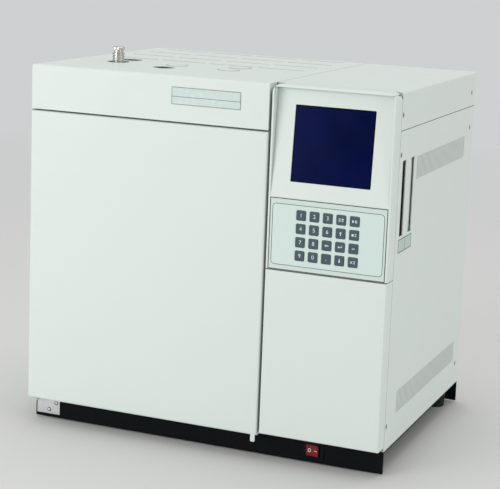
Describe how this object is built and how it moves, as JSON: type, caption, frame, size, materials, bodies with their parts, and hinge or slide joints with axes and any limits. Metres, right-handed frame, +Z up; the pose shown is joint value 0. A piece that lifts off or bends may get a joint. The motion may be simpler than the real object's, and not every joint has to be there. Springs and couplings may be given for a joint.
{
  "type": "gas chromatograph",
  "caption": "Bench gas chromatograph: insulated oven with fan behind a hinged door, injector and detector ports on top, display and keypad column at the right.",
  "frame": {"origin": "on the bench under the middle of the bounding box", "axes": "+Z up, the door and keypad face -Y, +X to the right of someone facing the front"},
  "size_m": [0.55, 0.4326, 0.5563],
  "materials": {
    "case_paint": "fine satin powder coat, pale grey with a trace of green",
    "black_steel": "satin black paint",
    "rubber": "matt",
    "zinc_steel": "zinc plated",
    "stainless": "brushed",
    "mineral_wool": "felted wool",
    "aluminium": "machined",
    "motor_enamel": "baked enamel",
    "heater_steel": "heat darkened sheath",
    "column_tube": "amber coated tube",
    "gasket": "matt silicone",
    "bright_nut": "plated, knurled",
    "display_glass": "dark navy glass",
    "keypad_sheet": "fine matt film",
    "key_cap": "embossed film",
    "circuit_board": "solder mask",
    "switch_black": "moulded",
    "rocker_red": "moulded",
    "tube_glass": "clear",
    "float_black": "polished",
    "brass": "turned",
    "transformer_iron": "varnished laminations"
  },
  "bodies": {
    "case": {"base_frame": "black_steel", "rubber_feet": "rubber", "left_side_panel": "case_paint", "right_side_panel": "case_paint", "rear_panel": "case_paint", "left_top_cover": "case_paint", "right_top_cover": "case_paint", "partition_wall": "zinc_steel", "oven_liner": "stainless", "oven_insulation": "mineral_wool", "fan_baffle": "stainless", "fan_motor": "motor_enamel", "heater_coil": "heater_steel", "column_coil": "column_tube", "hinge_brackets": "zinc_steel", "injector": "aluminium", "detector": "aluminium", "port_plugs": "case_paint", "front_bezel": "case_paint", "display_module": "display_glass", "keypad_panel": "keypad_sheet", "key_board": "circuit_board", "lower_front_panel": "case_paint", "switch_housing": "switch_black", "meter_blocks": "aluminium", "flow_tubes": "tube_glass", "power_inlet": "switch_black", "gas_fittings": "brass", "main_board": "circuit_board", "transformer": "transformer_iron"},
    "door": {"door_skin": "case_paint", "door_liner": "stainless", "door_insulation": "mineral_wool", "door_gasket": "gasket"},
    "fan": {"fan_wheel": "aluminium"},
    "flap": {"exhaust_flap": "zinc_steel"},
    "rocker": {"power_rocker": "rocker_red"},
    "nut": {"septum_nut": "bright_nut"},
    "float_1": {"front_float": "float_black"},
    "float_2": {"rear_float": "float_black"},
    "key_1_1": {"key_1_1": "key_cap"},
    "key_1_2": {"key_1_2": "key_cap"},
    "key_1_3": {"key_1_3": "key_cap"},
    "key_1_4": {"key_1_4": "key_cap"},
    "key_1_5": {"key_1_5": "key_cap"},
    "key_2_1": {"key_2_1": "key_cap"},
    "key_2_2": {"key_2_2": "key_cap"},
    "key_2_3": {"key_2_3": "key_cap"},
    "key_2_4": {"key_2_4": "key_cap"},
    "key_2_5": {"key_2_5": "key_cap"},
    "key_3_1": {"key_3_1": "key_cap"},
    "key_3_2": {"key_3_2": "key_cap"},
    "key_3_3": {"key_3_3": "key_cap"},
    "key_3_4": {"key_3_4": "key_cap"},
    "key_3_5": {"key_3_5": "key_cap"},
    "key_4_1": {"key_4_1": "key_cap"},
    "key_4_2": {"key_4_2": "key_cap"},
    "key_4_3": {"key_4_3": "key_cap"},
    "key_4_4": {"key_4_4": "key_cap"},
    "key_4_5": {"key_4_5": "key_cap"}
  },
  "joints": [
    {"name": "door_swing", "type": "hinge", "parent": "case", "child": "door", "pos_m": [-0.269, -0.2017, 0.0365], "axis": [0, 0, -1], "range_deg": [0, 115]},
    {"name": "fan_spin", "type": "hinge", "parent": "case", "child": "fan", "pos_m": [-0.09, 0.0603, 0.23], "axis": [0, 1, 0], "continuous": true},
    {"name": "flap_swing", "type": "hinge", "parent": "case", "child": "flap", "pos_m": [-0.09, 0.1943, 0.383], "axis": [1, 0, 0], "range_deg": [0, 70]},
    {"name": "rocker_tilt", "type": "hinge", "parent": "case", "child": "rocker", "pos_m": [0.1725, -0.1867, 0.0198], "axis": [0, 0, 1], "range_deg": [0, 16]},
    {"name": "nut_turn", "type": "hinge", "parent": "case", "child": "nut", "pos_m": [-0.202, -0.0887, 0.547], "axis": [0, 0, 1], "range_deg": [0, 720]},
    {"name": "float_1_rise", "type": "slide", "parent": "case", "child": "float_1", "axis": [0, 0, 1], "range_m": [0, 0.08]},
    {"name": "float_2_rise", "type": "slide", "parent": "case", "child": "float_2", "axis": [0, 0, 1], "range_m": [0, 0.08]},
    {"name": "key_1_1_press", "type": "slide", "parent": "case", "child": "key_1_1", "axis": [0, 1, 0], "range_m": [0, 0.0005], "stiffness_N_per_m": 600},
    {"name": "key_1_2_press", "type": "slide", "parent": "case", "child": "key_1_2", "axis": [0, 1, 0], "range_m": [0, 0.0005], "stiffness_N_per_m": 600},
    {"name": "key_1_3_press", "type": "slide", "parent": "case", "child": "key_1_3", "axis": [0, 1, 0], "range_m": [0, 0.0005], "stiffness_N_per_m": 600},
    {"name": "key_1_4_press", "type": "slide", "parent": "case", "child": "key_1_4", "axis": [0, 1, 0], "range_m": [0, 0.0005], "stiffness_N_per_m": 600},
    {"name": "key_1_5_press", "type": "slide", "parent": "case", "child": "key_1_5", "axis": [0, 1, 0], "range_m": [0, 0.0005], "stiffness_N_per_m": 600},
    {"name": "key_2_1_press", "type": "slide", "parent": "case", "child": "key_2_1", "axis": [0, 1, 0], "range_m": [0, 0.0005], "stiffness_N_per_m": 600},
    {"name": "key_2_2_press", "type": "slide", "parent": "case", "child": "key_2_2", "axis": [0, 1, 0], "range_m": [0, 0.0005], "stiffness_N_per_m": 600},
    {"name": "key_2_3_press", "type": "slide", "parent": "case", "child": "key_2_3", "axis": [0, 1, 0], "range_m": [0, 0.0005], "stiffness_N_per_m": 600},
    {"name": "key_2_4_press", "type": "slide", "parent": "case", "child": "key_2_4", "axis": [0, 1, 0], "range_m": [0, 0.0005], "stiffness_N_per_m": 600},
    {"name": "key_2_5_press", "type": "slide", "parent": "case", "child": "key_2_5", "axis": [0, 1, 0], "range_m": [0, 0.0005], "stiffness_N_per_m": 600},
    {"name": "key_3_1_press", "type": "slide", "parent": "case", "child": "key_3_1", "axis": [0, 1, 0], "range_m": [0, 0.0005], "stiffness_N_per_m": 600},
    {"name": "key_3_2_press", "type": "slide", "parent": "case", "child": "key_3_2", "axis": [0, 1, 0], "range_m": [0, 0.0005], "stiffness_N_per_m": 600},
    {"name": "key_3_3_press", "type": "slide", "parent": "case", "child": "key_3_3", "axis": [0, 1, 0], "range_m": [0, 0.0005], "stiffness_N_per_m": 600},
    {"name": "key_3_4_press", "type": "slide", "parent": "case", "child": "key_3_4", "axis": [0, 1, 0], "range_m": [0, 0.0005], "stiffness_N_per_m": 600},
    {"name": "key_3_5_press", "type": "slide", "parent": "case", "child": "key_3_5", "axis": [0, 1, 0], "range_m": [0, 0.0005], "stiffness_N_per_m": 600},
    {"name": "key_4_1_press", "type": "slide", "parent": "case", "child": "key_4_1", "axis": [0, 1, 0], "range_m": [0, 0.0005], "stiffness_N_per_m": 600},
    {"name": "key_4_2_press", "type": "slide", "parent": "case", "child": "key_4_2", "axis": [0, 1, 0], "range_m": [0, 0.0005], "stiffness_N_per_m": 600},
    {"name": "key_4_3_press", "type": "slide", "parent": "case", "child": "key_4_3", "axis": [0, 1, 0], "range_m": [0, 0.0005], "stiffness_N_per_m": 600},
    {"name": "key_4_4_press", "type": "slide", "parent": "case", "child": "key_4_4", "axis": [0, 1, 0], "range_m": [0, 0.0005], "stiffness_N_per_m": 600},
    {"name": "key_4_5_press", "type": "slide", "parent": "case", "child": "key_4_5", "axis": [0, 1, 0], "range_m": [0, 0.0005], "stiffness_N_per_m": 600}
  ]
}
